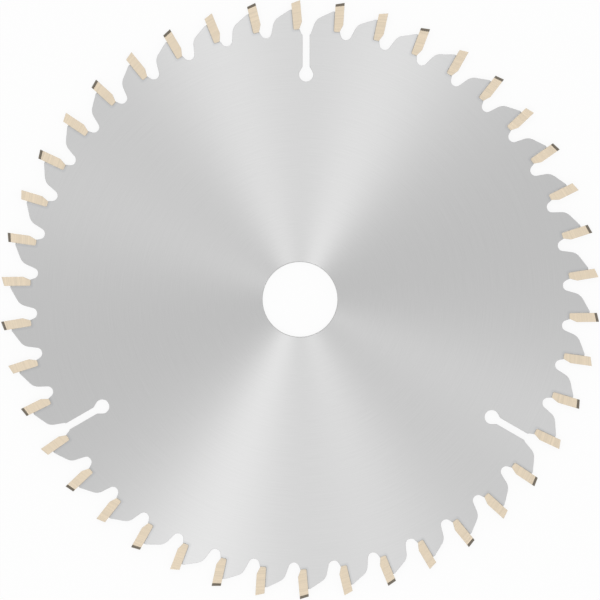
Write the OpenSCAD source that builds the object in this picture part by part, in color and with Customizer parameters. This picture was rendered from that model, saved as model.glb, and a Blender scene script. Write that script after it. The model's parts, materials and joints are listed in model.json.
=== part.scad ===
// Circular saw blade with brazed carbide tips in a triple-chip grind.
// High trapeze teeth with bevelled corners alternate with lower flat teeth.
// The blade lies flat: Z is the arbor axis, the origin is the middle of the bore at half
// the plate's thickness, and the teeth cut clockwise when seen from above.

/* [Blade] */
// Cutting diameter, over the edges of the trapeze tips
cutting_d = 160; // [140:1:180]
// Diameter of the arbor bore
bore_d = 20; // [12:0.1:30]
// Chamfer at both mouths of the bore
bore_chamfer = 0.15; // [0.05:0.05:0.4]
// Thickness of the steel plate
plate_t = 1.6; // [1:0.1:2.6]
// Number of teeth, half of them flat and half trapeze
teeth = 42; // [36:6:54]

/* [Carbide tips] */
// How far the cutting corners stand out past each face of the plate
side_set = 0.3; // [0.2:0.05:0.6]
// Length of a tip along its rake face
tip_len = 7.9; // [6:0.1:9]
// Thickness of a tip behind its rake face
tip_t = 2.4; // [1.8:0.1:3]
// Rake angle, negative when the face leans back from the cut
rake = -5; // [-8:0.5:0]
// Relief of the trapeze tips' tops behind the cutting edge
trapeze_relief = 17.5; // [12:0.5:22]
// Relief of the flat tips' tops behind the cutting edge
flat_relief = 20.5; // [12:0.5:24]
// How much lower the flat tips are ground
flat_drop = 0.2; // [0.1:0.05:0.4]
// Width left between the 45 degree corner bevels on a trapeze tip's top
top_land = 0.6; // [0.3:0.05:1]
// Side clearance towards the blade's centre
radial_clearance = 1.2; // [0.5:0.1:2]
// Side clearance behind the cutting edge
tangential_clearance = 1.5; // [0.5:0.1:3]
// Radius of the heel, the rounded corner in the back of the seat
heel_r = 0.4; // [0.2:0.05:0.8]
// Height of the bevel at the toe, above the foot of the rake face
toe_bevel_h = 2; // [1:0.1:3]
// Angle between the toe bevel and the rake face
toe_bevel_angle = 24.5; // [15:0.5:30]

/* [Braze] */
// Thickness of the braze between a tip and its seat
braze_t = 0.12; // [0.05:0.01:0.3]

/* [Gullets] */
// Distance from the cutting circle down to the plate's rim
rim_drop = 2.7; // [2:0.1:3.5]
// Length of rim left behind each seat
rim_land = 0.4; // [0.2:0.05:1.2]
// Fall of a tooth's back from the tangent
tooth_back_fall = 33.5; // [28:0.5:38]
// Radius that blends a tooth's back into the gullet
shoulder_r = 3.2; // [1:0.1:4]
// Depth of a gullet's bottom below the floor of the seat
gullet_below = 1.82; // [1.5:0.02:4]
// Radius of a gullet's bottom
gullet_r = 1.46; // [1.2:0.02:1.8]
// Distance of a gullet's middle ahead of the cutting edge
gullet_ahead = 1.63; // [1.4:0.01:2]
// Lean of the gullet's front wall, below the tip's toe
front_lean = 22; // [15:0.5:26]
// Lean of the gullet's far wall, up to the next tooth
far_lean = 20; // [12:0.5:26]

/* [Expansion slots] */
// Number of expansion slots
slots = 3; // [1,2,3,6]
// Width of a slot
slot_w = 1.9; // [0.8:0.1:2.4]
// Distance from the bottom of the gullet to the middle of the keyhole
slot_len = 10.2; // [7:0.1:20]
// Diameter of the keyhole at the slot's end
keyhole_d = 3.8; // [3:0.1:6]
// Half-angle at which the keyhole narrows into the slot
keyhole_flare = 30; // [15:1:40]

/* [Hidden] */
$fn = 180;
cutting_r = cutting_d / 2;
kerf = plate_t + 2 * side_set;
corner_bevel = (kerf - top_land) / 2;
pitch = 360 / teeth;
rim_r = cutting_r - rim_drop;
// How far a cutting shape reaches past what it cuts.
cut_over = 1;
// How far an arc reaches past the straight edges that it runs into.
hair = 0.0005;

// Even teeth are flat and odd teeth trapeze, counted clockwise from the one at the top.
function is_trapeze(i) = i % 2 == 1;
function tip_name(i) =
    str(is_trapeze(i) ? "trapeze_tip_" : "flat_tip_", i < 9 ? "0" : "", i + 1);

// Plane geometry on [x, y] points.
function turned(p, a) = [p.x * cos(a) - p.y * sin(a), p.x * sin(a) + p.y * cos(a)];
function heading(a) = [cos(a), sin(a)];
function side(a) = [-sin(a), cos(a)];
// Where the line through p at angle a meets the line through q at angle b.
function crossing(p, a, q, b) = p + heading(a) * ((q - p) * side(b)) / (heading(a) * side(b));

// Each tooth is drawn in its own frame: its cutting edge is at the top, on +Y, at
// cutting_r, and +X is the way it cuts. A tip's frame has its origin on that edge and
// its Y axis along the rake face.
module tooth_frame(i) rotate(-i * pitch) children();
module tip_frame() translate([0, cutting_r]) rotate(-rake) children();
function from_tip(p) = [0, cutting_r] + turned(p, -rake);

// The gullet's bottom lies below the seat's floor, and a slot runs on down from it.
seat_floor = from_tip([0, -tip_len - braze_t]);
gullet_bottom = [gullet_ahead, seat_floor.y - gullet_below];
gullet_mid = gullet_bottom + [0, gullet_r];
keyhole_mid = gullet_bottom - [0, slot_len];
// The gullet's front wall runs up to the lip of the seat's floor.
front_foot = gullet_mid + gullet_r * heading(180 + front_lean);
front_angle = 90 + front_lean;
seat_lip = crossing(front_foot, front_angle, seat_floor, -rake);
// The far wall starts on the other side and ends at the back of the next tooth.
far_foot = gullet_mid + gullet_r * heading(-far_lean);
far_angle = 90 - far_lean;

// Behind the seat, rim_land of the rim is left before the tooth's back falls away.
seat_wall = from_tip([-tip_t - braze_t, 0]);
seat_wall_up = seat_wall * side(-rake);
seat_rim = seat_wall + side(-rake) *
    (sqrt(rim_r ^ 2 - seat_wall * seat_wall + seat_wall_up ^ 2) - seat_wall_up);
back_start = turned(seat_rim, rim_land / rim_r * 180 / PI);

// The back of the next tooth, seen in this tooth's frame, and its blend into the far wall,
// which stops short of the other ends of both.
next_back = turned(back_start, -pitch);
next_fall = tooth_back_fall - pitch;
shoulder = crossing(far_foot, far_angle, next_back, next_fall);
shoulder_turn = far_angle - next_fall;
shoulder_room = 0.95 * min(norm(shoulder - far_foot), norm(next_back - shoulder));
blend_len = min(shoulder_r * tan(shoulder_turn / 2), shoulder_room);
blend_r = blend_len / tan(shoulder_turn / 2);
blend_low = shoulder - blend_len * heading(far_angle);
blend_high = shoulder + blend_len * heading(next_fall);
blend_mid = blend_low + blend_r * heading(far_angle - 90);
function past_blend(p) = p + cut_over * (p - blend_mid) / norm(p - blend_mid);

// A tip's back, heel and foot, grown by the given allowance, from its rake face back and
// up past its cutting edge, in the tip's frame.
module heel_outline(allowance) {
    back = -tip_t - allowance;
    foot = -tip_len - allowance;
    r = heel_r + allowance;
    polygon([
        [0, foot], [0, cut_over], [back, cut_over], [back, foot + r], [back + r, foot]
    ]);
    translate([back + r, foot + r]) circle(r);
}

// The side view of a tip whose top falls back from the given height.
module tip_outline(height, relief) {
    fall = tan(relief + rake);
    reach = tip_t + cut_over;
    difference() {
        heel_outline(0);
        polygon([
            [cut_over, height + fall * cut_over],
            [cut_over, 2 * cut_over],
            [-reach, 2 * cut_over],
            [-reach, height - fall * reach]
        ]);
        polygon([
            [0, toe_bevel_h - tip_len],
            [-toe_bevel_h * tan(toe_bevel_angle), -tip_len],
            [-toe_bevel_h * tan(toe_bevel_angle), -tip_len - cut_over],
            [cut_over, -tip_len - cut_over],
            [cut_over, toe_bevel_h - tip_len]
        ]);
    }
}

// What is ground off the upper side of a tip: a plane that falls away from the cutting
// corner towards the centre and towards the back.
module side_grind(corner_height) {
    translate([0, corner_height, kerf / 2])
        rotate([radial_clearance, -tangential_clearance, 0])
            translate([-2 * tip_len, -2 * tip_len, 0])
                cube([4 * tip_len, 4 * tip_len, kerf]);
}

// What is ground off the upper corner of a trapeze tip, along the relief of its top.
module corner_grind() {
    rotate(trapeze_relief + rake)
        translate([0, -corner_bevel, kerf / 2])
            rotate([-45, 0, 0])
                translate([-2 * tip_t, -kerf, 0])
                    cube([4 * tip_t, 2 * kerf, kerf]);
}

module carbide_tip(trapeze) {
    height = trapeze ? 0 : -flat_drop;
    relief = trapeze ? trapeze_relief : flat_relief;
    color([0.88, 0.82, 0.73])
        tip_frame()
            difference() {
                translate([0, 0, -kerf]) linear_extrude(2 * kerf) tip_outline(height, relief);
                for (face = [0, 1]) mirror([0, 0, face]) {
                    side_grind(-flat_drop);
                    if (trapeze) corner_grind();
                }
            }
}

// The pocket for a tip and its braze, open to the front and the rim.
module seat_2d() {
    tip_frame() heel_outline(braze_t);
}

// The plate's outline ahead of one tooth: its seat, the gullet, and the back of the next.
module tooth_gap_2d() {
    beyond = cutting_r + cut_over;
    seat_2d();
    translate(gullet_mid) circle(gullet_r + hair);
    polygon([
        gullet_mid,
        front_foot,
        seat_lip + braze_t * heading(front_angle),
        [0, beyond],
        turned([0, beyond], -pitch / 2),
        next_back + (beyond - rim_r) * heading(next_fall),
        shoulder,
        far_foot
    ]);
    difference() {
        polygon([blend_mid, past_blend(blend_low), past_blend(shoulder), past_blend(blend_high)]);
        translate(blend_mid) circle(blend_r + hair);
    }
}

// An expansion slot that runs from the gullet down to a keyhole.
module slot_2d() {
    r = keyhole_d / 2;
    shoulder_x = r * cos(keyhole_flare);
    narrowing = (shoulder_x - slot_w / 2) / tan(keyhole_flare);
    neck_y = r * sin(keyhole_flare) + narrowing;
    translate(keyhole_mid) {
        circle(r + hair);
        polygon([
            [0, 0],
            [shoulder_x, r * sin(keyhole_flare)],
            [slot_w / 2, neck_y],
            [slot_w / 2, slot_len + gullet_r],
            [-slot_w / 2, slot_len + gullet_r],
            [-slot_w / 2, neck_y],
            [-shoulder_x, r * sin(keyhole_flare)]
        ]);
    }
}

module arbor_bore() {
    reach = plate_t / 2 + cut_over;
    cylinder(d = bore_d, h = 2 * reach, center = true);
    for (face = [0, 1]) mirror([0, 0, face])
        translate([0, 0, plate_t / 2 - bore_chamfer])
            cylinder(
                r1 = bore_d / 2,
                r2 = bore_d / 2 + bore_chamfer + cut_over,
                h = bore_chamfer + cut_over
            );
}

module saw_plate() {
    color([0.8, 0.8, 0.8])
        difference() {
            translate([0, 0, -plate_t / 2]) linear_extrude(plate_t)
                difference() {
                    circle(rim_r);
                    for (i = [0 : teeth - 1]) tooth_frame(i) tooth_gap_2d();
                    for (k = [0 : slots - 1]) tooth_frame(k * teeth / slots) slot_2d();
                }
            arbor_bore();
        }
}

// The braze fills the seat round the tip, flush with the plate, and ends in a small fillet
// that carries the gullet's front wall on up to the toe.
module braze_seam() {
    behind = 2 * tip_t;
    color([0.62, 0.6, 0.56])
        translate([0, 0, -plate_t / 2]) linear_extrude(plate_t)
            difference() {
                intersection() {
                    seat_2d();
                    circle(rim_r);
                    polygon([
                        front_foot,
                        seat_lip + toe_bevel_h / 2 * heading(front_angle),
                        [0, cutting_r],
                        [-behind, cutting_r],
                        front_foot - [behind, 0]
                    ]);
                }
                tip_frame() tip_outline(0, trapeze_relief);
            }
}

saw_plate();
for (i = [0 : teeth - 1])
    tooth_frame(i) carbide_tip(is_trapeze(i));
for (i = [0 : teeth - 1]) tooth_frame(i) braze_seam();  // braze_seams
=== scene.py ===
"""The looks of a carbide-tipped circular saw blade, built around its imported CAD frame."""

import json
import logging
import math
from abc import ABC, abstractmethod
from collections.abc import Mapping
from dataclasses import dataclass
from enum import Enum, IntEnum
from typing import Any

import bmesh
import bpy
from mathutils import Matrix, Vector

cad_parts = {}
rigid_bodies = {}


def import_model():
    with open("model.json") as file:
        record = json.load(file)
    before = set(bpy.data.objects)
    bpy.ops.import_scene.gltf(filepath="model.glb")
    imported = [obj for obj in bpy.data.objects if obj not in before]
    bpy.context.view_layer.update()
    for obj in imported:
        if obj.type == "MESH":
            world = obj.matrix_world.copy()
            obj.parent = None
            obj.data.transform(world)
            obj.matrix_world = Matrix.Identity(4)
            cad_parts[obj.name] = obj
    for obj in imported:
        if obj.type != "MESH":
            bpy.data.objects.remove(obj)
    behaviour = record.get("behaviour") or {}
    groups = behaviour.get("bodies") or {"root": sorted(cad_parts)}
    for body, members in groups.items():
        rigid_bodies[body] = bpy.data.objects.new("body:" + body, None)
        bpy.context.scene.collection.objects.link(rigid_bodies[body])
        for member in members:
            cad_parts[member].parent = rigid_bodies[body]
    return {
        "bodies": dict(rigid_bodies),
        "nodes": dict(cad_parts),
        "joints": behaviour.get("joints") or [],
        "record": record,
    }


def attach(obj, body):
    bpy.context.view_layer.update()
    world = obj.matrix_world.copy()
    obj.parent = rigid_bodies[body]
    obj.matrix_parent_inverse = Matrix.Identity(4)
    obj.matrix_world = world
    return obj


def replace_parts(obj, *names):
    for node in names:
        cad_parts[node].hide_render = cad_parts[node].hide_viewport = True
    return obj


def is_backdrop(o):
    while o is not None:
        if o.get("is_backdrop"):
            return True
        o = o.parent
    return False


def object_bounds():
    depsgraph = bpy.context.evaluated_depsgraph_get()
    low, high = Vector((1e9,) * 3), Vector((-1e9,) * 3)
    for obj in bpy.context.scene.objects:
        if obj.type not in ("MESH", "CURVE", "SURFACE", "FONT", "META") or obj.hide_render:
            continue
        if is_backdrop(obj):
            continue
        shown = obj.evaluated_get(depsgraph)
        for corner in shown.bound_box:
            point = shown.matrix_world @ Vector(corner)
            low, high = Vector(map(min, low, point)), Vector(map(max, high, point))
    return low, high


LOG = logging.getLogger("saw_blade")
MM_PER_M = 1000.0
BODY = "root"
GRAIN_MAP = "tip_grain"
NOISE_MEAN = 0.5

Box = tuple[Vector, Vector]
Colour = tuple[float, float, float, float]
Span = tuple[float, float]
Settings = Mapping[str, Any]
Sockets = Mapping[str | int, Any]


class Slot(Enum):
    """The record's material slots."""

    PLATE = "plate_steel"
    TIP = "tip_carbide"
    BRAZE = "braze_filler"


class Grind(Enum):
    """The two shapes that the tips are ground to, turn about round the rim."""

    FLAT = "flat_tip"
    TRAPEZE = "trapeze_tip"


class PlateSide(IntEnum):
    """The plate's two flat sides, by the way that they face along Z."""

    UPPER = 1
    LOWER = -1


class PlateFinish(IntEnum):
    """The places of the plate's finishes among its materials."""

    GROUND = 0
    CUT = 1
    BORE = 2


class TipFinish(IntEnum):
    """The places of a tip's finishes among its materials."""

    SIDE = 0
    EDGE = 1
    CORNER = 2


class MixSocket(IntEnum):
    """The places of a Mix node's colour sockets, whose names its other sockets share."""

    SHARE = 0
    RESULT = 2
    FIRST = 6
    SECOND = 7


class Value:
    """An output socket whose operators add Math nodes to its graph."""

    def __init__(self, graph: "Graph", socket: bpy.types.NodeSocket) -> None:
        """Keeps the socket and the graph that it is in."""
        self.graph = graph
        self.socket = socket

    def math(self, operation: str, *others: "Value | float") -> "Value":
        """The result of a Math node that starts with this value."""
        return self.graph.math(operation, self, *others)

    def __add__(self, other: "Value | float") -> "Value":
        """This plus other."""
        return self.math("ADD", other)

    __radd__ = __add__

    def __sub__(self, other: "Value | float") -> "Value":
        """This less other."""
        return self.math("SUBTRACT", other)

    def __rsub__(self, other: float) -> "Value":
        """Other less this."""
        return self.graph.math("SUBTRACT", other, self)

    def __mul__(self, other: "Value | float") -> "Value":
        """This times other."""
        return self.math("MULTIPLY", other)

    __rmul__ = __mul__

    def __truediv__(self, other: "Value | float") -> "Value":
        """This over other."""
        return self.math("DIVIDE", other)

    def __rtruediv__(self, other: float) -> "Value":
        """Other over this."""
        return self.graph.math("DIVIDE", other, self)

    def clamped(self) -> "Value":
        """This kept from 0 to 1."""
        return self.math("MAXIMUM", 0.0).math("MINIMUM", 1.0)

    def rise(self, start: float, end: float) -> "Value":
        """A smooth step, from 0 where this is at start to 1 where it is at end."""
        share = ((self - start) / (end - start)).clamped()
        return share * share * (3.0 - 2.0 * share)

    def about(self, mean: float, spread: float) -> "Value":
        """This noise pattern moved to another mean, with its strength times spread."""
        return mean + (self - NOISE_MEAN) * spread


class Graph:
    """The node tree of a material or of the world."""

    def __init__(self, tree: bpy.types.NodeTree) -> None:
        """Takes over the tree and empties it."""
        self.tree = tree
        tree.nodes.clear()

    def node(
        self, kind: str, settings: Settings | None = None, sockets: Sockets | None = None
    ) -> bpy.types.Node:
        """Adds one node.

        Args:
            kind: The node's type.
            settings: Its properties, which are set first.
            sockets: Its inputs by name or place, as values, numbers, tuples or sockets.

        Returns:
            The node.
        """
        made = self.tree.nodes.new(kind)
        for name, setting in (settings or {}).items():
            setattr(made, name, setting)
        for key, given in (sockets or {}).items():
            if isinstance(given, Value):
                given = given.socket
            if isinstance(given, bpy.types.NodeSocket):
                self.tree.links.new(given, made.inputs[key])
            else:
                made.inputs[key].default_value = given
        return made

    def value(
        self,
        kind: str,
        settings: Settings | None = None,
        sockets: Sockets | None = None,
        output: str | int = 0,
    ) -> Value:
        """One output, by name or place, of a node that is added as in node()."""
        return Value(self, self.node(kind, settings, sockets).outputs[output])

    def math(self, operation: str, *inputs: Value | float) -> Value:
        """A Math node's result, from values or numbers."""
        return self.value("ShaderNodeMath", {"operation": operation}, dict(enumerate(inputs)))

    def place(self) -> tuple[Value, Value, Value]:
        """The surface point in the blade's frame.

        Returns:
            Its X, Y and Z in millimetres.
        """
        point = self.value("ShaderNodeTexCoord", output="Object")
        sockets = {0: point, "Scale": MM_PER_M}
        scaled = self.value("ShaderNodeVectorMath", {"operation": "SCALE"}, sockets)
        split = self.node("ShaderNodeSeparateXYZ", sockets={0: scaled})
        x, y, z = (Value(self, output) for output in split.outputs)
        return x, y, z

    def grain_place(self) -> tuple[Value, Value]:
        """The surface point on a tip's own map.

        Returns:
            Its place across the tip and along it, in millimetres.
        """
        point = self.value("ShaderNodeUVMap", {"uv_map": GRAIN_MAP})
        split = self.node("ShaderNodeSeparateXYZ", sockets={0: point})
        across, along, _height = (Value(self, output) for output in split.outputs)
        return across, along

    def noise(
        self,
        across: tuple[Value | float, Value | float, Value | float],
        scale: float = 1.0,
        detail: float = 2.0,
        roughness: float = 0.5,
    ) -> Value:
        """A noise pattern.

        Args:
            across: The three coordinates that it varies with.
            scale: How many cells it has to each unit of them.
            detail: How many finer layers it has.
            roughness: How strong those are.

        Returns:
            The pattern, from 0 to 1 with a mean of NOISE_MEAN.
        """
        vector = self.value("ShaderNodeCombineXYZ", sockets=dict(enumerate(across)))
        sockets = {"Vector": vector, "Scale": scale, "Detail": detail, "Roughness": roughness}
        return self.value("ShaderNodeTexNoise", sockets=sockets)

    def blend(self, share: Value, first: Colour | Value, second: Colour | Value) -> Value:
        """A colour between two, by a Mix node.

        Args:
            share: How much of the second, from 0 to 1.
            first: The colour at 0.
            second: The colour at 1.

        Returns:
            The mixed colour.
        """
        settings = {"data_type": "RGBA", "clamp_factor": True}
        sockets = {MixSocket.SHARE: share, MixSocket.FIRST: first, MixSocket.SECOND: second}
        return self.value("ShaderNodeMix", settings, sockets, MixSocket.RESULT)

    def bump(self, height: Value, depth_mm: float, strength: float) -> Value:
        """A normal from a height pattern that is that deep, with that much of it showing."""
        sockets = {"Height": height, "Distance": depth_mm / MM_PER_M, "Strength": strength}
        return self.value("ShaderNodeBump", sockets=sockets)


def grey(level: float) -> Colour:
    """A neutral colour of that level."""
    return level, level, level, 1.0


@dataclass(frozen=True)
class ToothRow:
    """Where the teeth stand, and the size of a tip's back and foot."""

    count: int = 42
    cutting_r_mm: float = 80.0
    rake_deg: float = -5.0
    tip_t_mm: float = 2.4
    tip_len_mm: float = 7.9

    @property
    def pitch(self) -> float:
        """The angle from one tooth to the next, in radians."""
        return math.tau / self.count

    @property
    def lean(self) -> float:
        """How far a tip is turned from its radius, anticlockwise, in radians."""
        return -math.radians(self.rake_deg)

    def frame(self, index: int) -> Matrix:
        """A tip's own frame in the blade's, both in millimetres.

        Args:
            index: The tooth, from 0 at the top, clockwise.

        Returns:
            The matrix from the tip's frame, which has X ahead, Y outwards and its origin on
            the cutting edge.
        """
        turn = Matrix.Rotation(-index * self.pitch, 4, "Z")
        out = Matrix.Translation((0.0, self.cutting_r_mm, 0.0))
        return turn @ out @ Matrix.Rotation(self.lean, 4, "Z")


class Finish(ABC):
    """How one kind of surface looks."""

    name: str

    @abstractmethod
    def sockets(self, graph: Graph) -> dict[str | int, Any]:
        """The Principled shader's inputs, with the nodes behind them in graph."""

    def material(self) -> bpy.types.Material:
        """The finish's material, made the first time that it is asked for.

        Returns:
            The material.
        """
        found = bpy.data.materials.get(self.name)
        if found is not None:
            return found
        made = bpy.data.materials.new(self.name)
        made.use_nodes = True
        graph = Graph(made.node_tree)
        shader = graph.value("ShaderNodeBsdfPrincipled", sockets=self.sockets(graph))
        graph.node("ShaderNodeOutputMaterial", sockets={"Surface": shader})
        return made


@dataclass(frozen=True)
class GroundSteel(Finish):
    """The plate's faces, ground in fine rings round the bore, so that each lamp makes two bands."""

    row: ToothRow
    name: str = "ground_steel"
    level: float = 0.693
    contrast: Span = (0.25, 0.75)
    roughness: float = 0.471
    roughness_spread: float = 0.03
    anisotropy: float = 0.892
    quarter_turn: float = 0.25  # a full turn is 1, and this sets the gloss along the rings
    ring_share: float = 0.5
    ring_pitch_mm: float = 0.16
    ring_arc: float = 5.0  # how often a ring changes in each radian round the bore
    ring_depth_mm: float = 0.0008
    ring_strength: float = 0.3
    speckle: float = 0.03
    speckles_per_mm: float = 6.0
    # A darker bluish grey beside the tips: painted shade for the tips' shadow on the plate, with a
    # faint heat tint.
    shade_and_heat_tint: Colour = (0.628, 0.632, 0.639, 1.0)
    shade_and_heat_reach_mm: Span = (0.25, 0.9)
    tooth_start: float = 0.615  # a tooth's share of the rim starts so many pitches behind its tip

    def sockets(self, graph: Graph) -> dict[str | int, Any]:
        """Steel that is rough across its rings and glossy along them, with painted shade beside the
        tips for their shadow on the plate, and a faint bluish heat tint there.

        Args:
            graph: The material's graph.

        Returns:
            The Principled shader's inputs.
        """
        x, y, _z = graph.place()
        radius = (x * x + y * y).math("SQRT")
        arc = x / radius * self.ring_arc, y / radius * self.ring_arc
        rings = graph.noise((*arc, radius / self.ring_pitch_mm), detail=1.0)
        fine = graph.noise((x, y, 0.0), scale=self.speckles_per_mm, detail=3.0, roughness=0.7)
        mixed = rings * self.ring_share + fine * (1.0 - self.ring_share)
        low, high = (grey(self.level * (1.0 + way * self.speckle)) for way in (-1, 1))
        steel = graph.blend(mixed.rise(*self.contrast), low, high)
        # Painted shade beside the tips, standing for the shadow of their step onto the plate, with
        # a faint bluish heat tint.
        shade_and_heat = 1.0 - self.seam_distance(x, y, radius).rise(*self.shade_and_heat_reach_mm)
        return {
            "Base Color": graph.blend(shade_and_heat, steel, self.shade_and_heat_tint),
            "Metallic": 1.0,
            "Roughness": rings.about(self.roughness, self.roughness_spread),
            "Anisotropic": self.anisotropy,
            "Anisotropic Rotation": self.quarter_turn,
            "Normal": graph.bump(rings, self.ring_depth_mm, self.ring_strength),
        }

    def seam_distance(self, x: Value, y: Value, radius: Value) -> Value:
        """How far a point of the plate lies behind or below its tooth's tip.

        Args:
            x: The point's X in millimetres.
            y: Its Y.
            radius: Its distance from the blade's axis.

        Returns:
            The distance in millimetres, 0 on the tip.
        """
        row, lean = self.row, self.row.lean
        angle = x.math("ARCTAN2", y)
        turned = angle - (angle / row.pitch + self.tooth_start).math("FLOOR") * row.pitch
        across = radius * turned.math("SINE")
        up = radius * turned.math("COSINE") - row.cutting_r_mm
        ahead = across * math.cos(lean) + up * math.sin(lean)
        out = up * math.cos(lean) - across * math.sin(lean)
        behind = (-row.tip_t_mm - ahead).math("MAXIMUM", ahead).math("MAXIMUM", 0.0)
        below = (-row.tip_len_mm - out).math("MAXIMUM", 0.0)
        return (behind * behind + below * below).math("SQRT")


class TwoToneMetal(Finish):
    """A metal that a pattern takes from one tone to another, with a pattern in gloss and relief."""

    light: Colour
    dark: Colour
    roughness: float
    roughness_spread: float
    depth_mm: float
    strength: float
    metallic: float = 1.0

    @abstractmethod
    def patterns(self, graph: Graph) -> tuple[Value, Value]:
        """The pattern of the tones, 0 for dark and 1 for light, and that of gloss and relief."""

    def sockets(self, graph: Graph) -> dict[str | int, Any]:
        """The two patterns in colour, roughness and bump.

        Args:
            graph: The material's graph.

        Returns:
            The Principled shader's inputs.
        """
        tone, relief = self.patterns(graph)
        return {
            "Base Color": graph.blend(tone, self.dark, self.light),
            "Metallic": self.metallic,
            "Roughness": relief.about(self.roughness, self.roughness_spread),
            "Normal": graph.bump(relief, self.depth_mm, self.strength),
        }


@dataclass(frozen=True)
class CutWall(TwoToneMetal):
    """The plate's rim, gullets and slots, cut by a beam that leaves fine upright lines."""

    name: str = "cut_wall"
    light: Colour = (0.53, 0.525, 0.515, 1.0)
    dark: Colour = (0.34, 0.33, 0.315, 1.0)
    contrast: Span = (0.3, 0.7)
    roughness: float = 0.48
    roughness_spread: float = 0.2
    line_pitch_mm: float = 0.13
    line_length_mm: float = 2.5
    depth_mm: float = 0.012
    strength: float = 0.6

    def patterns(self, graph: Graph) -> tuple[Value, Value]:
        """Lines that run up and down the wall.

        Args:
            graph: The material's graph.

        Returns:
            The lines with more contrast, and as they are.
        """
        x, y, z = graph.place()
        pitch = self.line_pitch_mm
        lines = graph.noise((x / pitch, y / pitch, z / self.line_length_mm))
        return lines.rise(*self.contrast), lines


@dataclass(frozen=True)
class ReamedBore(TwoToneMetal):
    """The bore and its chamfers, turned smooth with faint rings."""

    name: str = "reamed_bore"
    light: Colour = (0.74, 0.74, 0.735, 1.0)
    dark: Colour = (0.6, 0.6, 0.595, 1.0)
    roughness: float = 0.32
    roughness_spread: float = 0.12
    ring_pitch_mm: float = 0.09
    ring_length_mm: float = 5.0
    depth_mm: float = 0.003
    strength: float = 0.4

    def patterns(self, graph: Graph) -> tuple[Value, Value]:
        """Rings that run round the bore.

        Args:
            graph: The material's graph.

        Returns:
            The rings, for both patterns.
        """
        x, y, z = graph.place()
        length = self.ring_length_mm
        rings = graph.noise((x / length, y / length, z / self.ring_pitch_mm), detail=1.0)
        return rings, rings


@dataclass(frozen=True)
class GroundCarbide(TwoToneMetal):
    """Carbide with grinding lines across the tip."""

    name: str = "ground_carbide"
    light: Colour = (0.811, 0.694, 0.536, 1.0)
    dark: Colour = (0.655, 0.565, 0.443, 1.0)
    contrast: Span = (0.36, 0.64)
    metallic: float = 0.8
    roughness: float = 0.5
    roughness_spread: float = 0.4
    slope: float = 0.12
    band_share: float = 0.3
    line_share: float = 0.6
    band_pitch_mm: float = 0.45
    line_pitch_mm: float = 0.06
    line_length_mm: float = 40.0
    grains_per_mm: float = 14.0
    depth_mm: float = 0.004
    strength: float = 0.6
    layers: tuple[float, float, float] = (0.0, 7.0, 3.0)  # far apart in the noise, so unlike

    def patterns(self, graph: Graph) -> tuple[Value, Value]:
        """Broad bands and fine lines across the tip, with grains.

        Args:
            graph: The material's graph.

        Returns:
            The three mixed, and the fine lines alone.
        """
        band_layer, line_layer, grain_layer = self.layers
        across, along = graph.grain_place()
        drawn = across / self.line_length_mm
        down = along - across * self.slope
        bands = graph.noise((drawn, down / self.band_pitch_mm, band_layer))
        lines = graph.noise((drawn, down / self.line_pitch_mm, line_layer))
        grains = graph.noise((across, along, grain_layer), scale=self.grains_per_mm, detail=1.0)
        grain_share = 1.0 - self.band_share - self.line_share
        mixed = bands * self.band_share + lines * self.line_share + grains * grain_share
        return mixed.rise(*self.contrast), lines


@dataclass(frozen=True)
class BrazeMetal(TwoToneMetal):
    """Silver solder, dull and slightly mottled where it has run out of the seam."""

    name: str = "braze_metal"
    light: Colour = (0.57, 0.56, 0.54, 1.0)
    dark: Colour = (0.43, 0.42, 0.40, 1.0)
    contrast: Span = (0.3, 0.7)
    roughness: float = 0.525
    roughness_spread: float = 0.25
    mottle_mm: float = 0.35
    depth_mm: float = 0.01
    strength: float = 0.4

    def patterns(self, graph: Graph) -> tuple[Value, Value]:
        """Mottling, with more contrast for the tones."""
        mottle = graph.noise(graph.place(), scale=1 / self.mottle_mm, detail=3.0)
        return mottle.rise(*self.contrast), mottle


EDGE_CARBIDE = GroundCarbide(
    name="edge_carbide",
    light=(0.50, 0.44, 0.365, 1.0),
    dark=(0.41, 0.36, 0.297, 1.0),
    metallic=1.0,
    roughness=0.32,
)
# The corner bevels' carbide, painted dark: painted shade for bevels that are tilted away from the
# lamps.
SHADED_CORNER_CARBIDE = GroundCarbide(
    name="painted_shade_corner_carbide",
    light=(0.243, 0.209, 0.164, 1.0),
    dark=(0.166, 0.142, 0.11, 1.0),
    roughness=0.36,
)


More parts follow.
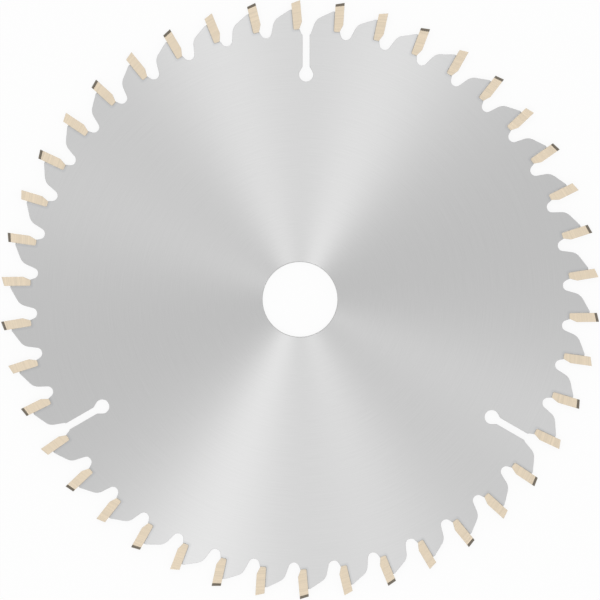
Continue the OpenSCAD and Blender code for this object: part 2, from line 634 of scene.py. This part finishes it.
class Workshop:
    """Mesh steps that the pieces share, done in millimetres so that no small edge is lost."""

    MERGE_MM = 1e-4
    FLAT_ANGLE = math.radians(0.4)
    SHARP_ANGLE = math.radians(14.0)

    def copied(self, node: bpy.types.Object) -> bmesh.types.BMesh:
        """A merged copy of a CAD node's mesh.

        Args:
            node: The CAD node, which stays as it is.

        Returns:
            Its shape in millimetres, with flat faces in one piece.
        """
        bm = bmesh.new()
        bm.from_mesh(node.data)
        bmesh.ops.scale(bm, vec=(MM_PER_M,) * 3, verts=bm.verts)
        bmesh.ops.remove_doubles(bm, verts=bm.verts, dist=self.MERGE_MM)
        bmesh.ops.dissolve_limit(
            bm, angle_limit=self.FLAT_ANGLE, verts=bm.verts, edges=bm.edges
        )
        for face in bm.faces:
            face.material_index = 0
        return bm

    def break_edges(self, bm: bmesh.types.BMesh, width_mm: float, least_deg: float) -> None:
        """Rounds the sharp edges off a little, as deburring does.

        Args:
            bm: The mesh, in millimetres.
            width_mm: How far the rounding reaches from an edge.
            least_deg: The angle between faces, in degrees, from which an edge is sharp.
        """
        least = math.radians(least_deg)
        sharp = [e for e in bm.edges if e.is_manifold and e.calc_face_angle(0.0) > least]
        bmesh.ops.bevel(
            bm,
            geom=sharp,
            offset=width_mm,
            offset_type="OFFSET",
            affect="EDGES",
            segments=2,
            profile=0.5,
            clamp_overlap=True,
            material=-1,
        )

    def piece(
        self, bm: bmesh.types.BMesh, name: str, finishes: tuple[Finish, ...]
    ) -> bpy.types.Object:
        """Turns a mesh into a piece that rides on the blade's body.

        Args:
            bm: The mesh in millimetres, which is used up.
            name: The piece's name.
            finishes: Its finishes, in the order of the faces' material numbers.

        Returns:
            The piece's object.
        """
        bmesh.ops.scale(bm, vec=(1 / MM_PER_M,) * 3, verts=bm.verts)
        for face in bm.faces:
            face.smooth = True
        mesh = bpy.data.meshes.new(name)
        bm.to_mesh(mesh)
        bm.free()
        mesh.set_sharp_from_angle(angle=self.SHARP_ANGLE)
        for finish in finishes:
            mesh.materials.append(finish.material())
        made = bpy.data.objects.new(name, mesh)
        bpy.context.scene.collection.objects.link(made)
        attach(made, BODY)
        return made


class Assembly(ABC):
    """A part of the blade, worked up from a copy of the CAD node that it stands for."""

    node: str
    name: str
    slot: Slot

    @abstractmethod
    def shape(self, bm: bmesh.types.BMesh, shop: Workshop) -> None:
        """Works the copy, in millimetres, into its finished shape and numbers its finishes."""

    @abstractmethod
    def finishes(self) -> tuple[Finish, ...]:
        """The finishes, in the order of the faces' material numbers."""

    def build(self, nodes: Mapping[str, bpy.types.Object], shop: Workshop) -> bpy.types.Object:
        """Makes the piece that stands for the CAD node.

        Args:
            nodes: The CAD nodes by name.
            shop: The mesh steps.

        Returns:
            The piece's object.
        """
        bm = shop.copied(nodes[self.node])
        self.shape(bm, shop)
        made = shop.piece(bm, self.name, self.finishes())
        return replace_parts(made, self.node)


@dataclass
class SawPlate(Assembly):
    """The steel plate with its gullets, seats, expansion slots and bore."""

    row: ToothRow
    node: str = "saw_plate"
    name: str = "ground_plate"
    slot: Slot = Slot.PLATE
    bore_reach_mm: float = 10.3
    edge_break_mm: float = 0.05
    shoulder: float = 0.3  # where the two steps of the edge break meet, as a share of it
    flat_from: float = 0.99  # the upright part of a normal, from which a face is a flat one

    def shape(self, bm: bmesh.types.BMesh, shop: Workshop) -> None:
        """Numbers the walls' finishes and deburrs both sides.

        Args:
            bm: The plate, in millimetres.
            shop: The mesh steps; not used here.
        """
        for face in bm.faces:
            if abs(face.normal.z) < self.flat_from:
                face.material_index = self.wall_finish(face)
        for side in PlateSide:
            self.deburr(bm, side)

    def finishes(self) -> tuple[Finish, ...]:
        """The finishes, in the order of PlateFinish."""
        return GroundSteel(self.row), CutWall(), ReamedBore()

    def wall_finish(self, face: bmesh.types.BMFace) -> PlateFinish:
        """A wall's finish: the bore's close to the axis, and else that of the cut."""
        close = face.calc_center_median().xy.length < self.bore_reach_mm
        return PlateFinish.BORE if close else PlateFinish.CUT

    def deburr(self, bm: bmesh.types.BMesh, side: PlateSide) -> None:
        """Rounds one side's whole outline off in two small steps, the outer one steep.

        Args:
            bm: The plate, in millimetres.
            side: The side.
        """
        faces = [f for f in bm.faces if f.normal.z * side > self.flat_from]
        steep = self.shoulder, 1.0
        gentle = 1.0 - self.shoulder, self.shoulder
        for step in (steep, gentle):
            width, drop = (self.edge_break_mm * share for share in step)
            rim = bmesh.ops.inset_region(
                bm,
                faces=faces,
                thickness=width,
                use_boundary=True,
                use_even_offset=True,
            )["faces"]
            for face in rim:
                face.material_index = (
                    self.wall_finish(face) if step is steep else PlateFinish.GROUND
                )
            inner = {v for f in faces for v in f.verts}
            outer = {v for f in rim for v in f.verts} - inner
            bmesh.ops.translate(bm, vec=Vector((0.0, 0.0, -side * drop)), verts=list(outer))


@dataclass
class CarbideTip(Assembly):
    """One ground tip."""

    row: ToothRow
    index: int
    slot: Slot = Slot.TIP
    edge_break_mm: float = 0.025
    sharp_from_deg: float = 15.0
    side_from: float = 0.9  # the upright part of a normal, from which a face is a side
    corner_from: float = 0.5  # and from which it is a corner bevel
    map_step_mm: Span = (4.181, 11.3)  # how far the map shifts from one tip to the next

    @property
    def grind(self) -> Grind:
        """The tip's shape, by its place in the row."""
        return Grind.TRAPEZE if self.index % 2 else Grind.FLAT

    @property
    def node(self) -> str:
        """The CAD node's name."""
        return f"{self.grind.value}_{self.index + 1:02d}"

    @property
    def name(self) -> str:
        """The piece's name."""
        return f"ground_{self.node}"

    def shape(self, bm: bmesh.types.BMesh, shop: Workshop) -> None:
        """Numbers the faces' finishes, breaks the edges and maps the grain.

        Args:
            bm: The tip, in millimetres.
            shop: The mesh steps.
        """
        for face in bm.faces:
            face.material_index = self.face_finish(face)
        shop.break_edges(bm, self.edge_break_mm, self.sharp_from_deg)
        self.map_grain(bm)

    def finishes(self) -> tuple[Finish, ...]:
        """The finishes, in the order of TipFinish."""
        return GroundCarbide(), EDGE_CARBIDE, SHADED_CORNER_CARBIDE

    def face_finish(self, face: bmesh.types.BMFace) -> TipFinish:
        """A face's finish, by how far it faces up or down.

        Args:
            face: The face.

        Returns:
            The finish: one for the sides, one for the corner bevels, and one for the rest.
        """
        upright = abs(face.normal.z)
        if upright > self.side_from:
            return TipFinish.SIDE
        return TipFinish.CORNER if upright > self.corner_from else TipFinish.EDGE

    def map_grain(self, bm: bmesh.types.BMesh) -> None:
        """Gives the tip a map in its own frame, shifted so that no two tips have the same lines.

        Args:
            bm: The tip, in millimetres.
        """
        layer = bm.loops.layers.uv.new(GRAIN_MAP)
        inward = self.row.frame(self.index).inverted()
        shift = Vector([self.index * step for step in self.map_step_mm])
        for face in bm.faces:
            for loop in face.loops:
                loop[layer].uv = (inward @ loop.vert.co).xy + shift


@dataclass
class BrazeSeams(Assembly):
    """The solder between tips and plate, with the thin bead that stands out of each seam."""

    row: ToothRow
    node: str = "braze_seams"
    name: str = "brazed_seams"
    slot: Slot = Slot.BRAZE
    heel_r_mm: float = 0.4
    heel_steps: int = 6
    rim_mm: float = -2.95  # the bead starts at this Y of the tip's frame
    toe_mm: float = -1.1  # and ends at this X
    face_mm: float = 0.8  # the plate's face lies so far from its mid plane
    sunk_mm: float = 0.02  # the bead reaches so far into the tip and the plate
    bead_w_mm: float = 0.24
    bead_h_mm: float = 0.06
    bead_hollow: tuple[Span, ...] = ((0.25, 0.55), (0.55, 0.22))  # shares of width and height

    def shape(self, bm: bmesh.types.BMesh, shop: Workshop) -> None:
        """Adds the beads to the seams.

        Args:
            bm: The seams, in millimetres.
            shop: The mesh steps; not used here.
        """
        bead = self.bead()
        for index in range(self.row.count):
            self.add_copy(bm, bead, self.row.frame(index))
        bpy.data.meshes.remove(bead)

    def finishes(self) -> tuple[Finish, ...]:
        """The solder alone."""
        return (BrazeMetal(),)

    def section(self) -> list[Span]:
        """The outline of the bead behind a tip's back.

        Returns:
            Its points: X in the tip's frame and the height over the blade's mid plane.
        """
        back, face = -self.row.tip_t_mm, self.face_mm
        wall, foot = back + self.sunk_mm, face - self.sunk_mm
        hollow = [
            (back - out * self.bead_w_mm, face + up * self.bead_h_mm)
            for out, up in self.bead_hollow
        ]
        top = face + self.bead_h_mm
        return [(wall, foot), (wall, top), *hollow, (back - self.bead_w_mm, foot)]

    def bead(self) -> bpy.types.Mesh:
        """One tip's two beads, in the tip's frame.

        Returns:
            A mesh in millimetres: down the tip's back, round its heel and along its floor, on
            both sides.
        """
        bm = bmesh.new()
        ring = [bm.verts.new((across, self.rim_mm, up)) for across, up in self.section()]
        cap = bm.faces.new(ring)
        heel_x = self.heel_r_mm - self.row.tip_t_mm
        heel_y = self.heel_r_mm - self.row.tip_len_mm
        edges = self.drawn_out(bm, list(cap.edges), Vector((0.0, heel_y - self.rim_mm, 0.0)))
        turned = bmesh.ops.spin(
            bm,
            geom=edges + list({v for e in edges for v in e.verts}),
            cent=(heel_x, heel_y, 0.0),
            axis=(0.0, 0.0, 1.0),
            angle=math.pi / 2,
            steps=self.heel_steps,
            use_merge=False,
        )["geom_last"]
        edges = [e for e in turned if isinstance(e, bmesh.types.BMEdge)]
        edges = self.drawn_out(bm, edges, Vector((self.toe_mm - heel_x, 0.0, 0.0)))
        bmesh.ops.contextual_create(bm, geom=edges)
        under = bmesh.ops.duplicate(bm, geom=bm.verts[:] + bm.edges[:] + bm.faces[:])["geom"]
        low = [v for v in under if isinstance(v, bmesh.types.BMVert)]
        bmesh.ops.scale(bm, vec=(1.0, 1.0, -1.0), verts=low)
        bmesh.ops.recalc_face_normals(bm, faces=bm.faces)
        mesh = bpy.data.meshes.new("bead")
        bm.to_mesh(mesh)
        bm.free()
        return mesh

    @staticmethod
    def drawn_out(
        bm: bmesh.types.BMesh, edges: list[bmesh.types.BMEdge], by: Vector
    ) -> list[bmesh.types.BMEdge]:
        """Extrudes a ring of edges.

        Args:
            bm: The mesh.
            edges: The ring.
            by: How far and which way it goes.

        Returns:
            The ring's new edges.
        """
        new = bmesh.ops.extrude_edge_only(bm, edges=edges)["geom"]
        verts = [v for v in new if isinstance(v, bmesh.types.BMVert)]
        bmesh.ops.translate(bm, vec=by, verts=verts)
        moved = set(verts)
        return [e for e in new if isinstance(e, bmesh.types.BMEdge) and set(e.verts) <= moved]

    @staticmethod
    def add_copy(bm: bmesh.types.BMesh, mesh: bpy.types.Mesh, frame: Matrix) -> None:
        """Adds a placed copy of a mesh to another.

        Args:
            bm: The mesh that it is added to.
            mesh: The mesh that is copied.
            frame: The matrix that places the copy.
        """
        placed = mesh.copy()
        placed.transform(frame)
        bm.from_mesh(placed)
        bpy.data.meshes.remove(placed)


@dataclass(frozen=True)
class Lamp:
    """A soft lamp well away from the blade. Its level is the irradiance that it gives there."""

    name: str
    azimuth_deg: float
    level: float
    zenith_deg: float = 28.0
    distance_m: float = 2.2
    size_m: float = 0.24

    def build(self) -> None:
        """Hangs the lamp, turned to the blade."""
        light = bpy.data.lights.new(self.name, "AREA")
        light.shape = "DISK"
        light.size = self.size_m
        light.energy = self.level * math.pi * self.distance_m**2
        made = bpy.data.objects.new(self.name, light)
        tilt, turn = math.radians(self.zenith_deg), math.radians(self.azimuth_deg)
        side = math.sin(tilt)
        aim = Vector((side * math.cos(turn), side * math.sin(turn), math.cos(tilt)))
        made.location = aim * self.distance_m
        made.rotation_euler = aim.to_track_quat("Z", "Y").to_euler()
        made.visible_camera = False
        bpy.context.scene.collection.objects.link(made)


@dataclass
class Studio:
    """A pale floor, an even sky, a broad lamp overhead, three smaller ones and the camera."""

    sky: float = 0.66
    floor_level: float = 0.95
    floor_size_m: float = 40.0
    paper: float = 0.9  # how much of the floor that is seen is plain white, without its shadow
    view_width_m: float = 0.16
    lens_mm: float = 300.0
    sensor_mm: float = 36.0
    clip_m: Span = (0.05, 20.0)
    aim_y_m: float = -0.00016  # the blade lies a little above the picture's centre
    top_m: float = 0.0008  # the view's width is that at the plate's upper face
    lamps: tuple[Lamp, ...] = (
        Lamp("lamp_front", 248.6, 0.298),
        Lamp("lamp_back", 108.3, 0.228),
        Lamp("lamp_side", 334.6, 0.111),
        Lamp("lamp_top", 0.0, 0.3, zenith_deg=0.0, size_m=2.4),
    )

    def build(self, box: Box) -> None:
        """Sets up everything round the blade.

        Args:
            box: The blade's lowest and highest corners.
        """
        self.build_floor(box[0].z)
        self.build_sky()
        for lamp in self.lamps:
            lamp.build()
        self.build_camera()
        bpy.context.scene.view_settings.view_transform = "Standard"

    def build_floor(self, height_m: float) -> None:
        """Lays the floor.

        Args:
            height_m: How high it lies.
        """
        bm = bmesh.new()
        bmesh.ops.create_grid(bm, x_segments=1, y_segments=1, size=self.floor_size_m / 2)
        bmesh.ops.translate(bm, vec=(0.0, 0.0, height_m), verts=bm.verts)
        mesh = bpy.data.meshes.new("floor")
        bm.to_mesh(mesh)
        bm.free()
        mesh.materials.append(self.floor_paper())
        made = bpy.data.objects.new("floor", mesh)
        bpy.context.scene.collection.objects.link(made)
        made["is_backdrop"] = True

    def floor_paper(self) -> bpy.types.Material:
        """A pale matt paper that shows as white with a faint shadow.

        Returns:
            The floor's material.
        """
        made = bpy.data.materials.new("floor_paper")
        made.use_nodes = True
        graph = Graph(made.node_tree)
        matt = graph.value("ShaderNodeBsdfDiffuse", sockets={"Color": grey(self.floor_level)})
        white = graph.value("ShaderNodeEmission", sockets={"Color": grey(1.0), "Strength": 1.0})
        share = self.seen_straight(graph) * self.paper
        mixed = graph.value("ShaderNodeMixShader", sockets={0: share, 1: matt, 2: white})
        graph.node("ShaderNodeOutputMaterial", sockets={"Surface": mixed})
        return made

    @staticmethod
    def seen_straight(graph: Graph) -> Value:
        """Which rays see a surface from the camera, or in a mirror or through glass.

        Args:
            graph: The surface's graph.

        Returns:
            1 for those rays, and else 0.
        """
        path = graph.node("ShaderNodeLightPath")
        names = ("Is Camera Ray", "Is Glossy Ray", "Is Transmission Ray")
        camera, glossy, through = (Value(graph, path.outputs[name]) for name in names)
        return camera.math("MAXIMUM", glossy).math("MAXIMUM", through)

    def build_sky(self) -> None:
        """Lights the blade evenly from all round."""
        world = bpy.data.worlds.new("studio")
        world.use_nodes = True
        graph = Graph(world.node_tree)
        sockets = {"Color": grey(1.0), "Strength": self.sky}
        sky = graph.value("ShaderNodeBackground", sockets=sockets)
        graph.node("ShaderNodeOutputWorld", sockets={"Surface": sky})
        bpy.context.scene.world = world

    def build_camera(self) -> None:
        """Hangs the camera straight above the blade, with a long lens."""
        data = bpy.data.cameras.new("camera")
        data.lens = self.lens_mm
        data.sensor_width = self.sensor_mm
        data.clip_start, data.clip_end = self.clip_m
        distance = self.view_width_m * self.lens_mm / self.sensor_mm
        made = bpy.data.objects.new("camera", data)
        made.location = (0.0, self.aim_y_m, self.top_m + distance)
        bpy.context.scene.collection.objects.link(made)
        bpy.context.scene.camera = made


def main() -> None:
    """Builds the plate, the tips, the seams and the studio."""
    logging.basicConfig(level=logging.INFO, format="%(message)s")
    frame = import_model()
    cad_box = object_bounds()
    row, shop = ToothRow(), Workshop()
    tips = [CarbideTip(row, index) for index in range(row.count)]
    for assembly in (SawPlate(row), *tips, BrazeSeams(row)):
        made = assembly.build(frame["nodes"], shop)
        LOG.info("piece %s: %d faces", made.name, len(made.data.polygons))
    Studio().build(cad_box)


if __name__ == "__main__":
    main()
